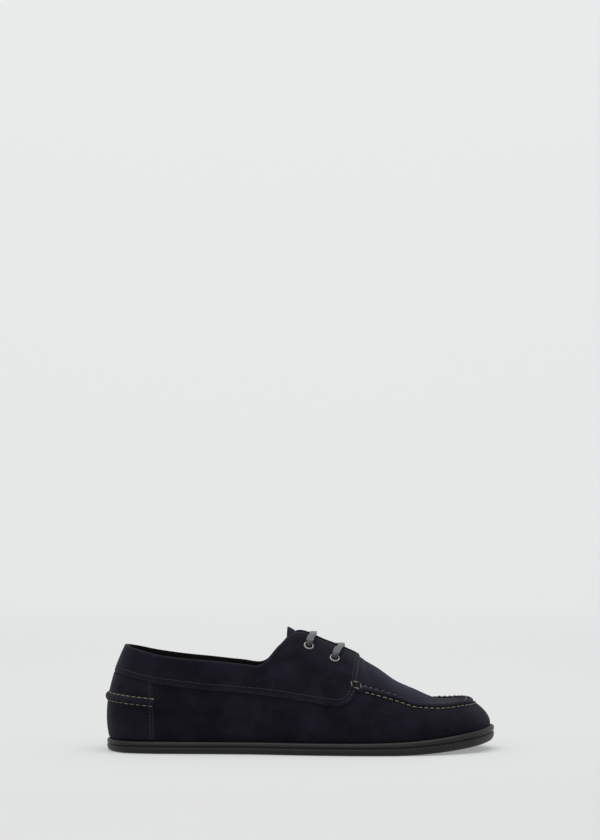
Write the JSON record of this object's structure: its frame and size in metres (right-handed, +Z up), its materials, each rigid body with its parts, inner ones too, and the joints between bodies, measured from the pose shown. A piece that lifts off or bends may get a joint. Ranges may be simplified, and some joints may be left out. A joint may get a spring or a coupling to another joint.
{
  "type": "boat shoe",
  "caption": "Low moccasin-toed boat shoe for the right foot: suede upper with raised apron seam, laced saddle, collar band and heel strap on a flat grooved rubber sole.",
  "frame": {"origin": "on the floor, under the middle of the shoe's bounding box", "axes": "+X from the heel to the toe, +Y to the inner side of the foot, +Z up from the floor"},
  "size_m": [0.2896, 0.1014, 0.091],
  "materials": {
    "suede": "dark navy suede, matt nap",
    "lining": "smooth dark lining",
    "rubber": "satin black",
    "lace": "woven blue-grey",
    "metal": "aged silver"
  },
  "bodies": {
    "root": {"outsole": "rubber", "insole": "lining", "upper": "suede", "collar_band": "suede", "heel_counter": "suede", "heel_strap": "suede", "apron_seam": "suede", "seam_tab_outer": "suede", "seam_tab_inner": "suede", "tongue": "suede", "eyelet_outer_rear": "metal", "eyelet_outer_front": "metal", "eyelet_inner_rear": "metal", "eyelet_inner_front": "metal", "lace_rear": "lace", "lace_front": "lace"}
  },
  "joints": []
}
